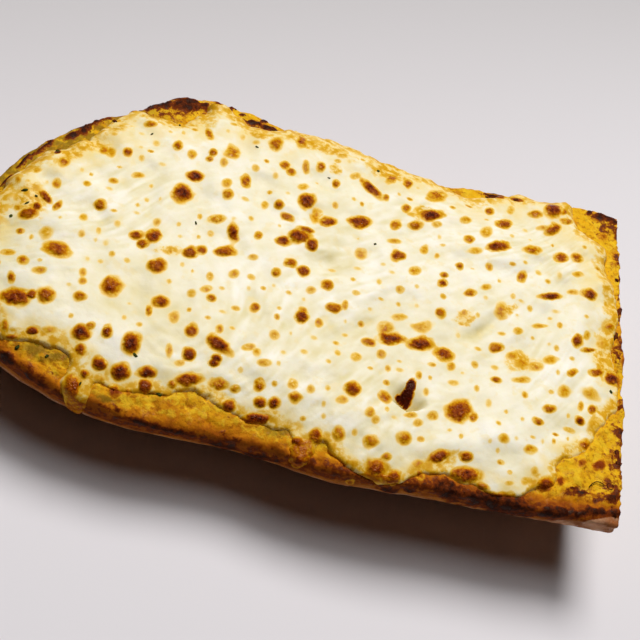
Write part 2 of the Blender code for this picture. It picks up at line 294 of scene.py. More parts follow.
# Burnt bubbles: (x, y, size in mm).
CRUMBS = (
    (70, 137, 1.6), (78, 134, 1.8), (88, 128, 2.0), (109, 116, 1.4), (277, 456, 1.2), (589, 213, 1.3),
    (599, 216, 1.5), (610, 221, 1.6), (623, 337, 2.2), (619, 360, 2.0), (619, 464, 1.6), (617, 452, 1.2),
    (618, 280, 1.0), (492, 195, 1.2), (516, 200, 1.2), (155, 104, 1.8), (168, 101, 2.0), (180, 99, 2.2),
    (192, 97, 2.2), (202, 99, 1.6), (233, 108, 1.4), (250, 122, 1.4), (60, 394, 1.2), (28, 374, 1.4),
    (600, 513, 1.6), (614, 513, 1.6), (446, 487, 1.8),
)
# The little stem's points, the ring with its radius in mm, and the herb flecks.
STEM = ((589, 487), (592, 484), (596, 482), (600, 483), (604, 486))
RING = (610, 487, 0.75)
FLECKS = (
    (58, 151), (152, 134), (180, 126), (257, 147), (329, 178), (375, 244), (378, 171), (196, 223), (11, 216),
    (25, 190), (27, 203), (17, 347), (36, 196), (47, 356), (135, 355), (159, 394), (611, 392), (102, 397),
    (80, 384),
)
# Blisters by kind: how toasted they are, and how high they stand as a share of their radius.
BLISTERS = ((AMBER, 0.33, 0.06), (BROWN, 0.55, 0.14), (DARK, 0.82, 0.28))

FORWARD = np.array(
    (-np.sin(AZIMUTH) * np.cos(ELEVATION), np.cos(AZIMUTH) * np.cos(ELEVATION), -np.sin(ELEVATION))
)
LEVEL = np.array((np.cos(AZIMUTH), np.sin(AZIMUTH), 0.0))
RISE = np.cross(LEVEL, FORWARD)
RIGHT = np.cos(ROLL) * LEVEL + np.sin(ROLL) * RISE
UP = np.cos(ROLL) * RISE - np.sin(ROLL) * LEVEL
EYE = TARGET - DISTANCE * FORWARD
FOCAL_PX = FRAME_PX * LENS / SENSOR


def bump(x, centre, width):
    return np.exp(-(((x - centre) / width) ** 2))


def ramp(x, start, end):
    """0 before start, 1 after end, smooth between."""
    t = np.clip((x - start) / (end - start), 0.0, 1.0)
    return t * t * (3.0 - 2.0 * t)


def unit(vectors):
    return vectors / np.linalg.norm(vectors, axis=-1, keepdims=True)


def heel(s, start, power):
    """1 before the heel, falling to 0 at its tip."""
    reach = np.clip((start - s) / (start - TIP_X), 0.0, 1.0)
    return (1.0 - reach**power) ** (1.0 / power)


def far_edge(s):
    y = FAR_Y + sum(out * bump(s, at, width) for at, width, out in FAR_BULGES)
    y = y + sum(out * ramp(s, start, end) for start, end, out in FAR_STEPS)
    return TIP_Y + (y - TIP_Y) * heel(s, *HEEL_FAR)


def near_edge(s):
    y = NEAR_LEFT_Y + (NEAR_RIGHT_Y - NEAR_LEFT_Y) * ramp(s, *NEAR_TURN)
    return TIP_Y + (y - TIP_Y) * heel(s, *HEEL_NEAR)


def rim_height(s):
    return WAIST_Z + (RIM_Z - WAIST_Z) * heel(s, *RIM_FALL)


def base_height(s):
    return WAIST_Z * (1.0 - heel(s, *BASE_RISE))


def rim_round(s):
    near = RIM_ROUND_LEFT + (RIM_ROUND_RIGHT - RIM_ROUND_LEFT) * ramp(s, *ROUND_TURN)
    far_scale = np.maximum(heel(s, HEEL_FAR[0], ROUND_POWER), LEAST_ROUND)
    near_scale = np.maximum(heel(s, HEEL_NEAR[0], ROUND_POWER), LEAST_ROUND)
    return RIM_ROUND_FAR * far_scale, near * near_scale


def rolled(distance, radius):
    """How far a round edge has dropped at a distance inside it."""
    t = np.clip(1.0 - distance / radius, 0.0, 1.0)
    return radius * (1.0 - np.sqrt(1.0 - t * t))


def near_drop(distance, drop):
    """The same for the near rim: a long slope, then a tight round."""
    slope = np.clip(1.0 - distance / (NEAR_SLOPE * drop), 0.0, 1.0)
    return (1.0 - NEAR_TIGHT) * drop * slope**2 + rolled(distance, NEAR_TIGHT * drop)


def cut_side(s, y):
    """Height of the loaf's cut side, without its pit."""
    far, near = far_edge(s), near_edge(s)
    round_far, round_near = rim_round(s)
    width = np.maximum(far - near, 1e-6)
    across = np.clip((2.0 * y - far - near) / width, -1.0, 1.0)
    crown = CROWN * (1.0 - across**2) * np.minimum(1.0, width / CROWN_WIDTH)
    ridge = RIDGE_HEIGHT * bump(s, RIDGE_X, RIDGE_WIDTH) * (1.0 - ramp(far - y, *RIDGE_FADE))
    rims = rolled(np.maximum(far - y, 0.0), round_far) + near_drop(np.maximum(y - near, 0.0), round_near)
    return rim_height(s) + crown + ridge - rims


def belly(s, across):
    """Height of the crust below, from -1 at the near edge to 1 at the far one."""
    round_far, round_near = rim_round(s)
    widest = rim_height(s) - 0.5 * (round_near + round_far) + 0.5 * (round_near - round_far) * across
    depth = np.minimum(1.0, BELLY_FULLNESS * np.sqrt(np.maximum(1.0 - across**2, 0.0)))
    return widest - (widest - base_height(s)) * depth


def in_space(s, y, z):
    s, y, z = np.broadcast_arrays(s, y, z)
    return np.stack([s + CUT_SKEW * ramp(s, SKEW_FROM_X, CUT_X) * y, y, z], axis=-1)


def section(s, samples=800):
    """A section from the middle of its foot round by the near side, over the cut side and back.

    Each point comes with its girth: how far along the section it lies from the near widest line.
    """
    middle, half = 0.5 * (far_edge(s) + near_edge(s)), 0.5 * (far_edge(s) - near_edge(s))
    under = np.sin(np.linspace(0.0, np.pi / 2.0, samples // 2))
    over = -np.cos(np.linspace(0.0, np.pi, samples))
    across = np.concatenate([-under[:-1], over, under[-2::-1]])
    z = np.concatenate([belly(s, -under[:-1]), cut_side(s, middle + half * over), belly(s, under[-2::-1])])
    points = in_space(s, middle + half * across, z)
    girth = np.concatenate([[0.0], np.cumsum(np.linalg.norm(np.diff(points, axis=0), axis=1))])
    near_widest, far_widest = len(under) - 1, len(under) + samples - 2
    return points, girth - girth[near_widest], girth[far_widest] - girth[near_widest]


class Skin:
    """A grid on the loaf: stations along it, and girths that columns(s, top, low, high) gives for each.

    t is like s, but across: it is y where the cut side is level.
    """

    def __init__(self, stations, columns):
        places, girths, tops = [], [], []
        for s in stations:
            points, girth, top = section(s)
            wanted = columns(s, top, girth[0], girth[-1])
            places.append(np.stack([np.interp(wanted, girth, points[:, k]) for k in range(3)], axis=-1))
            girths.append(wanted)
            tops.append(np.full(len(wanted), top))
        self.at = np.array(places)
        self.girth = np.array(girths)
        self.top = np.array(tops)
        self.s = np.repeat(np.array(stations)[:, None], self.at.shape[1], axis=1)
        near_arc = NEAR_TIGHT * rim_round(self.s)[1]
        self.t = self.girth + near_edge(self.s) - near_arc
        normal = np.cross(np.gradient(self.at, axis=0), np.gradient(self.at, axis=1))
        self.normal = normal / np.maximum(np.linalg.norm(normal, axis=-1, keepdims=True), 1e-12)


def noise(u, v, cell, seed):
    """Smooth noise from -1 to 1 over a plane, with hills about a cell wide."""
    size = 256
    lattice = np.random.default_rng(SEED + seed).uniform(-1.0, 1.0, (size, size))
    u, v = u / cell + 0.37 * size, v / cell + 0.71 * size
    i, j = np.floor(u).astype(int), np.floor(v).astype(int)
    f, g = u - i, v - j
    f, g = f * f * f * (f * (6.0 * f - 15.0) + 10.0), g * g * g * (g * (6.0 * g - 15.0) + 10.0)
    i, j, k, m = i % size, j % size, (i + 1) % size, (j + 1) % size
    low = lattice[i, j] * (1.0 - f) + lattice[k, j] * f
    high = lattice[i, m] * (1.0 - f) + lattice[k, m] * f
    return low * (1.0 - g) + high * g


def rough(u, v, *layers):
    """Noise in layers of (height, cell, seed)."""
    return sum(height * noise(u, v, cell, seed) for height, cell, seed in layers)


def cells(u, v, cell, seed):
    """Distance in cells to the nearest of points scattered one to a cell, and a number of its own."""
    size = 128
    jitter_u, jitter_v, kind = np.random.default_rng(SEED + seed).uniform(0.1, 0.9, (3, size, size))
    u, v = u / cell + 0.5 * size, v / cell + 0.5 * size
    i, j = np.floor(u).astype(int), np.floor(v).astype(int)
    nearest = np.full(u.shape, 9.0)
    own = np.zeros(u.shape)
    for di in (-1, 0, 1):
        for dj in (-1, 0, 1):
            p, q = (i + di) % size, (j + dj) % size
            away = np.hypot(i + di + jitter_u[p, q] - u, j + dj + jitter_v[p, q] - v)
            closer = away < nearest
            nearest = np.where(closer, away, nearest)
            own = np.where(closer, kind[p, q], own)
    return nearest, own


def quads(rows, columns):
    """The faces of a grid, as indices."""
    i, j = np.meshgrid(np.arange(rows - 1), np.arange(columns - 1), indexing="ij")
    a = (i * columns + j).ravel()
    return np.stack([a, a + columns, a + columns + 1, a + 1], 1)


def line_of_sight(x, y):
    across, down = (x - FRAME_PX / 2) / FOCAL_PX, (y - FRAME_PX / 2) / FOCAL_PX
    return unit(FORWARD + across * RIGHT - down * UP)


class Sight:
    """Finds where lines of sight meet a grid of points."""

    def __init__(self, skin):
        faces = quads(*skin.s.shape)
        self.faces = np.concatenate([faces[:, :3], faces[:, [0, 2, 3]]])
        self.points = skin.at.reshape(-1, 3)
        self.normals = skin.normal.reshape(-1, 3)
        self.s, self.t = skin.s.ravel(), skin.t.ravel()
        self.tree = BVHTree.FromPolygons(self.points.tolist(), self.faces.tolist())

    def meet(self, x, y):
        """The place, the loaf's normal there, and s and t, of what a pixel shows.

        A line of sight that just misses is drawn towards the middle of the frame until it meets.
        """
        place = None
        while place is None:
            place, _, face, _ = self.tree.ray_cast(Vector(EYE), Vector(line_of_sight(x, y)))
            x, y = x + 0.004 * (FRAME_PX / 2 - x), y + 0.004 * (FRAME_PX / 2 - y)
        corners = self.faces[face]
        weights = 1.0 / (np.linalg.norm(self.points[corners] - np.array(place), axis=1) + 1e-7)
        weights = weights / weights.sum()
        normal = unit(self.normals[corners].T @ weights)
        return np.array(place), normal, self.s[corners] @ weights, self.t[corners] @ weights


def rounded(points, times):
    """A closed outline with its corners cut off, again and again."""
    for _ in range(times):
        after = np.roll(points, -1, axis=0)
        points = np.stack([0.75 * points + 0.25 * after, 0.25 * points + 0.75 * after], 1).reshape(-1, 2)
    return points


def inside_distance(skin, outline):
    """Distance to the cheese's uneven outline, positive inside."""
    s, t = skin.s.ravel(), skin.t.ravel()
    nearest = np.full(s.shape, 1.0)
    inside = np.zeros(s.shape, bool)
    for (a, b), (c, d) in zip(outline, np.roll(outline, -1, axis=0)):
        length_squared = (c - a) ** 2 + (d - b) ** 2 + 1e-18
        along = np.clip(((s - a) * (c - a) + (t - b) * (d - b)) / length_squared, 0, 1)
        nearest = np.minimum(nearest, np.hypot(s - a - along * (c - a), t - b - along * (d - b)))
        if b != d:
            inside ^= ((b > t) != (d > t)) & (s < (c - a) * (t - b) / (d - b) + a)
    depth = np.where(inside, nearest, -nearest).reshape(skin.s.shape)
    return depth + rough(skin.s, skin.t, (0.0005, 0.0034, 2), (0.0004, 0.0016, 3))


def spot_reach(skin, sight, spot):
    """Grid points near a spot of the photo, how far they are from its middle (1 at its edge), its radius."""
    x, y, width, height = spot[:4]
    turn = np.radians(spot[4]) if len(spot) > 4 else 0.0
    middle, _, s, t = sight.meet(x, y)
    per_pixel = np.linalg.norm(middle - EYE) / FOCAL_PX
    reach = MOST_STRETCH * max(width, height) * per_pixel
    near = (np.abs(skin.s - s) < reach) & (np.abs(skin.t - t) < reach)
    seen = skin.at[near] - EYE
    scale = FOCAL_PX / (seen @ FORWARD)
    right = FRAME_PX / 2 + scale * (seen @ RIGHT) - x
    down = FRAME_PX / 2 - scale * (seen @ UP) - y
    along = (right * np.cos(turn) - down * np.sin(turn)) / (0.5 * width)
    across = (right * np.sin(turn) + down * np.cos(turn)) / (0.5 * height)
    apart = np.linalg.norm(skin.at[near] - middle, axis=1)
    away = np.maximum(np.hypot(along, across), apart / (0.5 * reach))
    return near, away, 0.5 * min(width, height) * per_pixel


def stroke(field, skin, sight, spots, inner, outer, wobble, level=1.0):
    """Raise a field to level inside the spots, falling to nothing from inner to outer."""
    for spot in spots:
        near, away, _ = spot_reach(skin, sight, spot)
        away = away * (1.0 + wobble[near])
        field[near] = np.maximum(field[near], level * (1.0 - ramp(away, inner, outer)))


def show(name, data):
    """Put a new object in the scene."""
    shown = bpy.data.objects.new(name, data)
    bpy.context.scene.collection.objects.link(shown)
    return shown


def mesh_piece(name, points, faces, values, uv, material, replaced):
    """A smooth mesh with its own numbers at each point, riding on the root body."""
    mesh = bpy.data.meshes.new(name)
    mesh.from_pydata(points.tolist(), [], faces)
    for key, value in values.items():
        layer = mesh.attributes.new(key, "FLOAT", "POINT")
        layer.data.foreach_set("value", np.ascontiguousarray(value, np.float32))
    if uv is not None:
        layer = mesh.uv_layers.new(name="OFBake")
        layer.data.foreach_set("uv", np.ascontiguousarray(uv, np.float32).ravel())
    mesh.shade_smooth()
    mesh.materials.append(material)
    piece = show(name, mesh)
    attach(piece, "root")
    if replaced:
        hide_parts(replaced)


def cheese_columns(s, top, lowest, highest):
    low = max(-0.0050 * heel(s, HEEL_NEAR[0], ROUND_POWER), 0.9 * lowest)
    high = top + min(0.0012, 0.1 * (highest - top))
    return np.linspace(low, high, BLOCK * round(CHEESE_GIRTH / CHEESE_STEP / BLOCK) + 1)


def cheese_outline(sight):
    """The cheese's outline as (s, t): seen points, then the hidden heel."""
    seen = [sight.meet(x, y)[2:] for x, y in MARGIN]
    return rounded(np.array(seen + list(HEEL_MARGIN)), 2)


def cheese_thickness(depth, s, t, nearness):
    """Thickness of the melt at a depth inside its outline; outside it dives into the crumb."""
    lip = FAR_LIP + (NEAR_LIP - FAR_LIP) * nearness
    rest = CHEESE_THICK - NEAR_THINNER * nearness - lip
    lip = lip * (1.0 + 0.5 * noise(s, t, 0.0050, 1))
    close = np.clip(depth / LIP_ROUND, 0.0, 1.0)
    edge = lip * np.sqrt(close * (2.0 - close))
    reach = (FAR_REACH + (NEAR_REACH - FAR_REACH) * nearness) * (1.0 + 0.3 * noise(s, t, 0.012, 14))
    share = np.clip(depth / reach, 0.0, 1.0)
    inside = edge + rest * (share * (2.0 - share)) ** (1.0 + 0.25 * nearness)
    return np.where(depth > 0.0, inside, -0.0013 * ramp(-depth, 0.0, 0.0009))


def pit_sink(s, t, lip):
    """How far the pit sinks: steep under its near lip, gentle on its far side."""
    order = np.argsort(lip[:, 0])
    beyond = t - np.interp(s, lip[order, 0], lip[order, 1])
    along = bump(s, lip[len(lip) // 2, 0], PIT_WIDTH)
    back = bump(np.maximum(beyond, MM), MM, PIT_LENGTH)
    return PIT_DEPTH * along * ramp(beyond, -0.0003, MM) * back


def paint_blisters(skin, sight, wobble):
    """How toasted each point is, and how far its blister stands up."""
    toast, dome = np.zeros(skin.s.shape), np.zeros(skin.s.shape)
    vary = np.random.default_rng(SEED)
    for spots, level, bulge in BLISTERS:
        for spot in spots:
            near, away, radius = spot_reach(skin, sight, spot)
            peak = level * vary.uniform(0.85, 1.15)
            away = away * (1.0 + wobble[near] * min(1.0, ROUND_RADIUS / radius))
            toast[near] = np.maximum(toast[near], peak * (1.0 - ramp(away, 0.22, 1.62)))
            cap = np.sqrt(np.clip(1.0 - away**2, 0.0, 1.0)) * ramp(-away, -1.1, -0.5)
            dome[near] = np.maximum(dome[near], bulge * radius * cap)
    return toast, dome


def scatter_blisters(skin, toast, depth, wobble):
    """Small blisters where the photo's leave room, and larger ones on the hidden heel."""
    vary = np.random.default_rng(SEED + 1)
    low = np.array([skin.s.min(), skin.t.min()])
    high = np.array([skin.s.max(), skin.t.max()])
    for _ in range(SMALL_BLISTERS):
        s, t = vary.uniform(low, high)
        radius = vary.uniform(0.0005, 0.0009)
        level = vary.choice([0.14, 0.20, 0.26, 0.36])
        if s < HIDDEN_HEEL_S:
            radius, level = vary.uniform(0.0006, 0.0017), vary.choice([0.4, 0.6, 0.9])
        near = (np.abs(skin.s - s) < 3 * radius) & (np.abs(skin.t - t) < 3 * radius)
        if not near.any() or depth[near].min() < 0.0004 or toast[near].max() > 0.10:
            continue
        stretch = vary.uniform(0.75, 1.3)
        away = np.hypot((skin.s[near] - s) * stretch, (skin.t[near] - t) / stretch) / radius
        away = away * (1.0 + wobble[near])
        toast[near] = np.maximum(toast[near], level * (1.0 - ramp(away, 0.15, 1.60)))


def fibres(s, t):
    """Fine stretched wrinkles of the melt, running across the loaf and fanning out."""
    lean = np.radians(38.0) + 0.35 * noise(s, t, 0.030, 7)
    along = s * np.cos(lean) + t * np.sin(lean)
    across = t * np.cos(lean) - s * np.sin(lean)
    patch = 0.35 + 0.65 * ramp(noise(s, t, 0.017, 11), -0.3, 0.5)
    return patch * (noise(along / 4.5, across, 0.0012, 8) + 0.6 * noise(along / 3.0, across, 0.0007, 9))


def make_cheese(outline, material):
    """The melt: a fine top, kept in blocks that the outline touches, over a coarser underside."""
    count = BLOCK * round(CHEESE_LENGTH / CHEESE_STEP / BLOCK)
    skin = Skin(np.linspace(CHEESE_START, CHEESE_START + CHEESE_LENGTH, count + 1), cheese_columns)
    s, t, base = skin.s, skin.t, skin.at
    depth = inside_distance(skin, outline)
    inner = ramp(depth, 0.0, 0.003)
    nearness = 1.0 - ramp(skin.girth / skin.top, 0.30, 0.75)
    lumps = rough(s, t, (0.00028, 0.0110, 4), (0.00018, 0.0048, 5), (0.00008, 0.0024, 15))
    lift = cheese_thickness(depth, s, t, nearness) + inner * lumps
    skin.at = base + skin.normal * lift[..., None]
    sight = Sight(skin)
    folds = np.zeros(s.shape)
    for *spot, height in FOLDS:
        near, away, _ = spot_reach(skin, sight, spot)
        folds[near] += height * MM * np.exp(-1.5 * away**2)
    lip = np.array([sight.meet(x, y)[2:] for x, y in PIT_LIP])
    sink = pit_sink(s, t, lip)
    down = np.array([0.0, 0.0, -1.0]) * sink[..., None]
    skin.at = skin.at + skin.normal * (folds * inner)[..., None] + down
    sight = Sight(skin)
    wobble = rough(s, t, (0.22, 0.0020, 6), (0.10, 0.0010, 12))
    toast, dome = paint_blisters(skin, sight, wobble)
    scatter_blisters(skin, toast, depth, wobble)
    stroke(toast, skin, sight, CHAR, 0.3, 1.2, wobble, 0.90)
    stroke(toast, skin, sight, DRIPS, 0.55, 1.25, 1.5 * wobble, 0.52)
    stroke(toast, skin, sight, PIT_SLIT, 0.80, 1.25, 0.4 * wobble, 1.15)
    uneven = depth + rough(s, t, (0.0010, 0.003, 13))
    gold = 1.0 - ramp(uneven, 0.0006, 0.0062 - 0.0022 * nearness)
    honey = 1.0 - ramp(uneven, 0.0020, 0.0150 - 0.0090 * nearness)
    stroke(gold, skin, sight, GOLD, 0.35, 1.30, 1.5 * wobble)
    pale = np.zeros(s.shape)
    stroke(pale, skin, sight, PALE, 0.5, 1.1, 2.0 * wobble)
    gold = gold * (1.0 - pale)
    fibre = fibres(s, t)
    relief = inner * (0.00004 * fibre + rough(s, t, (0.00003, 0.0010, 10))) + dome
    top = skin.at + skin.normal * relief[..., None]
    under = base + skin.normal * np.where(depth > 0.002, -0.0006, -0.0020)[..., None] + down
    rows, columns = s.shape
    blocks = depth[:-1, :-1].reshape(rows // BLOCK, BLOCK, columns // BLOCK, BLOCK)
    at, faces, used, top_faces = blocks_mesh(top, under, blocks.max(axis=(1, 3)) > -0.0004)
    # How high the melt lies in its lumps, folds and pit also colours it: painted shade in the dips, painted
    # highlight on the rises.
    hollow_shade = (lumps + 0.7 * folds - 0.5 * sink) / MM
    values = {"toast": toast, "gold": gold, "honey": honey, "vein_and_shade": fibre, "hollow_shade": hollow_shade}
    values = {key: np.tile(value.ravel(), 2)[used] for key, value in values.items()}
    uv = np.stack([(s.ravel() + 0.075) / CHEESE_MAP, (t.ravel() + 0.060) / CHEESE_MAP], axis=-1)
    uv = np.tile(uv, (2, 1))[used][[k for face in faces for k in face]]
    uv[4 * top_faces :] = 0.2 * uv[4 * top_faces :] + np.array([0.02, 0.80])
    mesh_piece("melted_cheese", at, faces, values, uv, material, "cheese")
    return sight, lip


def blocks_mesh(top, under, keep):
    """A closed mesh: every cell of the kept blocks on top, then one face for each block below."""
    rows, columns = top.shape[:2]
    below = rows * columns
    above = quads(rows, columns)[np.kron(keep, np.ones((BLOCK, BLOCK), bool)).ravel()].tolist()
    rest = []
    padded = np.pad(keep, 1)
    for i, j in zip(*np.nonzero(keep)):
        r, c = i * BLOCK, j * BLOCK
        e, f = r + BLOCK, c + BLOCK
        rest.append(tuple(below + p * columns + q for p, q in ((r, c), (r, f), (e, f), (e, c))))
        sides = (
            (padded[i, j + 1], [(r, q) for q in range(c, f + 1)]),
            (padded[i + 2, j + 1], [(e, q) for q in range(f, c - 1, -1)]),
            (padded[i + 1, j], [(p, c) for p in range(e, r - 1, -1)]),
            (padded[i + 1, j + 2], [(p, f) for p in range(r, e + 1)]),
        )
        for joined, edge in sides:
            if not joined:
                rim = [p * columns + q for p, q in edge]
                rest.append((*rim, below + rim[-1], below + rim[0]))
    faces = above + rest
    used = np.unique([k for face in faces for k in face])
    renumber = np.full(2 * below, -1)
    renumber[used] = np.arange(len(used))
    at = np.concatenate([top.reshape(-1, 3), under.reshape(-1, 3)])[used]
    return at, [tuple(int(renumber[k]) for k in face) for face in faces], used, len(above)


def camera():
    data = bpy.data.cameras.new("camera")
    data.lens = LENS
    data.sensor_width = SENSOR
    data.clip_start = 0.01
    data.clip_end = 20.0
    eye = show("camera", data)
    axes = Matrix((RIGHT, UP, -FORWARD)).transposed().to_4x4()
    eye.matrix_world = Matrix.Translation(Vector(EYE)) @ axes
    bpy.context.scene.camera = eye


class Nodes:
    """Short words for building a material's node tree."""

    def __init__(self, name):
        self.material = bpy.data.materials.new(name)
        self.material.use_nodes = True
        self.tree = self.material.node_tree
        self.shader = self.tree.nodes["Principled BSDF"]
        self.place = self.add("ShaderNodeTexCoord").outputs["Object"]

    def add(self, kind, **settings):
        node = self.tree.nodes.new(kind)
        for key, value in settings.items():
            setattr(node, key, value)
        return node

    def put(self, socket, value):
        if isinstance(value, bpy.types.NodeSocket):
            self.tree.links.new(value, socket)
        else:
            socket.default_value = value

    def shade(self, **settings):
        """Set or link the shader's sockets, named with _ for a space."""
        for key, value in settings.items():
            self.put(self.shader.inputs[key.replace("_", " ")], value)

    def number(self, attribute):
        return self.add("ShaderNodeAttribute", attribute_name=attribute).outputs["Fac"]

    def math(self, operation, *values, clamp=False):
        node = self.add("ShaderNodeMath", operation=operation, use_clamp=clamp)
        for socket, value in zip(node.inputs, values):
            self.put(socket, value)
        return node.outputs[0]

    def plus(self, one, two):
        return self.math("ADD", one, two)

    def times(self, one, two):
        return self.math("MULTIPLY", one, two)

    def noise(self, size, detail, roughness=0.55):
        node = self.add("ShaderNodeTexNoise")
        self.put(node.inputs["Vector"], self.place)
        node.inputs["Scale"].default_value = 1.0 / size
        node.inputs["Detail"].default_value = detail
        node.inputs["Roughness"].default_value = roughness
        return node.outputs["Fac"]

    def stir(self, size, detail, amount, roughness=0.55):
        """Noise about zero."""
        return self.times(self.math("SUBTRACT", self.noise(size, detail, roughness), 0.5), amount)

    def remap(self, value, low, high, to_low=0.0, to_high=1.0):
        node = self.add("ShaderNodeMapRange", interpolation_type="SMOOTHSTEP")
        for socket, given in zip(node.inputs, (value, low, high, to_low, to_high)):
            self.put(socket, given)
        return node.outputs[0]

    def patches(self, size, detail, low, high, to_low=0.0, to_high=1.0, roughness=0.55):
        """Noise as patches: to_low where it is under low, to_high where it is over high."""
        return self.remap(self.noise(size, detail, roughness), low, high, to_low, to_high)

    def mix(self, amount, one, two):
        node = self.add("ShaderNodeMix", data_type="RGBA")
        self.put(node.inputs[0], amount)
        for socket, colour in zip((node.inputs[6], node.inputs[7]), (one, two)):
            self.put(socket, (*colour, 1.0) if isinstance(colour, tuple) else colour)
        return node.outputs[2]

    def colours(self, value, stops):
        node = self.add("ShaderNodeValToRGB")
        self.put(node.inputs[0], value)
        entries = node.color_ramp.elements
        entries.remove(entries[1])
        entries[0].position = stops[0][0]
        entries[0].color = (*stops[0][1], 1.0)
        for position, colour in stops[1:]:
            entries.new(position).color = (*colour, 1.0)
        return node.outputs[0]

    def bumped(self, height, distance, strength):
        node = self.add("ShaderNodeBump")
        node.inputs["Strength"].default_value = strength
        node.inputs["Distance"].default_value = distance
        self.put(node.inputs["Height"], height)
        return node.outputs[0]


def cheese_material():
    n = Nodes("melted_cheese")
    toast = n.number("toast")
    stir = n.plus(n.stir(0.0008, 2.0, 0.8), n.stir(0.0018, 2.0, 0.7))
    stir = n.times(stir, n.remap(toast, 0.05, 0.45))
    gold = n.times(n.number("gold"), n.patches(0.0015, 3.0, 0.38, 0.62, 0.10, 0.30))
    heat = n.math("MAXIMUM", n.math("ADD", toast, stir, clamp=True), gold)
    # Painted shade and highlight: the melt's dips and wrinkle troughs are coloured darker and more olive,
    # its rises and wrinkle crests paler.
    vein_and_shade = n.math("MULTIPLY_ADD", n.number("hollow_shade"), 1.2, n.times(n.number("vein_and_shade"), 0.5))
    vein_and_shade = n.plus(vein_and_shade, n.stir(0.004, 3.0, 1.6))
    cream = n.colours(n.math("MULTIPLY_ADD", vein_and_shade, 0.25, 0.80, clamp=True), CREAM_AND_SHADE_COLOURS)
    cream = n.mix(n.times(n.patches(0.0026, 3.0, 0.54, 0.70), 0.4), cream, (0.84, 0.68, 0.30))
    honey = n.times(n.number("honey"), n.patches(0.0045, 3.0, 0.30, 0.62))
    cream = n.mix(n.times(honey, 0.85), cream, (0.84, 0.65, 0.23))
    soft = n.math("MULTIPLY_ADD", n.noise(0.003, 2.0), 0.24, 0.26)
    crisp = n.math("SUBTRACT", n.patches(0.0010, 1.0, 0.42, 0.58, 0.60, 0.16), soft)
    crinkle = n.times(n.noise(0.0008, 2.0), n.remap(toast, 0.25, 0.8, 0.2, 3.0))
    n.shade(
        Base_Color=n.mix(n.remap(heat, 0.0, 0.12), cream, n.colours(heat, BROWNED_COLOURS)),
        Roughness=n.math("MULTIPLY_ADD", n.remap(toast, 0.2, 0.5), crisp, soft),
        Subsurface_Weight=0.12,
        Subsurface_Radius=(1.0, 0.7, 0.35),
        Subsurface_Scale=0.0008,
        Specular_IOR_Level=0.11,
        Specular_Tint=(1.0, 0.84, 0.60, 1.0),
        Normal=n.bumped(crinkle, 0.0003, 0.7),
    )
    return n.material


def bread_material():
    n = Nodes("toasted_bread")
    wander = n.stir(0.0035, 4.0, 5.0, 0.6)
    rim = n.plus(n.number("rim"), wander)
    stops = tuple((0.5 + mm / RIM_SPAN, colour) for mm, colour in RIM_COLOURS)
    skin = n.colours(n.math("MULTIPLY_ADD", rim, 1.0 / RIM_SPAN, 0.5, clamp=True), stops)
    skin = n.mix(n.times(n.number("warm"), 0.75), skin, n.mix(0.35, skin, (0.50, 0.14, 0.003)))
    skin = n.mix(n.times(n.patches(0.0042, 4.0, 0.50, 0.64, roughness=0.6), 0.6), skin, (0.46, 0.14, 0.003))
    fleck = n.patches(0.0011, 4.0, 0.50, 0.64, roughness=0.65)
    skin = n.mix(n.times(fleck, 0.65), skin, (0.30, 0.080, 0.002))
    butter = n.times(n.patches(0.0018, 3.0, 0.48, 0.60), n.remap(rim, 0.5, 3.0))
    skin = n.mix(n.times(butter, 0.65), skin, (0.82, 0.52, 0.022))
    # Olive for oily crumb, and as painted shadow under the melt's edge.
    olive_and_shadow = n.times(n.number("wet_and_shadow"), n.patches(0.0022, 3.0, 0.30, 0.55))
    skin = n.mix(n.times(olive_and_shadow, 0.80), skin, (0.22, 0.13, 0.008))
    char = n.math("MULTIPLY_ADD", n.noise(0.0014, 4.0, 0.65), 1.7, -0.85)
    char = n.plus(n.number("char"), char)
    skin = n.mix(n.remap(char, 0.15, 0.45), skin, n.colours(char, CHAR_COLOURS))
    blister = n.colours(n.plus(n.number("toast"), n.stir(0.0006, 2.0, 0.6)), BLISTER_COLOURS)
    skin = n.mix(n.remap(n.number("toast"), 0.12, 0.34), skin, blister)
    tan = n.mix(n.patches(0.0040, 4.0, 0.40, 0.62), (0.30, 0.10, 0.03), (0.56, 0.29, 0.16))
    crust = n.plus(n.number("crust"), n.times(wander, 0.12))
    skin = n.mix(n.remap(crust, 0.3, 0.7), skin, tan)
    crumb = n.mix(n.patches(0.003, 4.0, 0.35, 0.65), (0.80, 0.60, 0.28), (0.66, 0.42, 0.13))
    crumb = n.mix(n.remap(n.number("inset"), 0.4, 2.2), (0.36, 0.15, 0.04), crumb)
    n.shade(
        Base_Color=n.mix(n.remap(n.number("inset"), 0.01, 0.3), skin, crumb),
        Roughness=n.patches(0.0014, 2.0, 0.52, 0.64, 0.75, 0.30),
        Specular_IOR_Level=0.10,
        Specular_Tint=(1.0, 0.80, 0.55, 1.0),
        Subsurface_Weight=0.08,
        Subsurface_Radius=(1.0, 0.4, 0.1),
        Subsurface_Scale=0.0010,
        Normal=n.bumped(n.noise(0.0009, 4.0, 0.65), 0.0004, 0.7),
    )
    return n.material


def dark_material(name, one, two, roughness):
    n = Nodes(name)
    speckled = n.mix(n.patches(0.0006, 3.0, 0.35, 0.65), one, two)
    n.shade(Base_Color=speckled, Roughness=roughness, Specular_IOR_Level=0.06)
    return n.material


def bread_columns(s, top, lowest, highest):
    """Girths of the bread's columns: fine at the rims, coarse below."""
    near_rim, far_rim = min(0.014, 0.25 * top), min(0.010, 0.20 * top)
    near_skirt = max(-0.008, 0.5 * lowest)
    far_skirt = top + min(0.004, 0.5 * (highest - top))
    stops = (
        (lowest, 0), (near_skirt, 26), (0.0, 18), (near_rim, 30), (top - far_rim, 78), (top, 22),
        (far_skirt, 8), (highest, 28),
    )
    pieces = [np.linspace(a, b, n + 1)[:-1] for (a, _), (b, n) in zip(stops, stops[1:])]
    return np.concatenate([*pieces, [highest]])


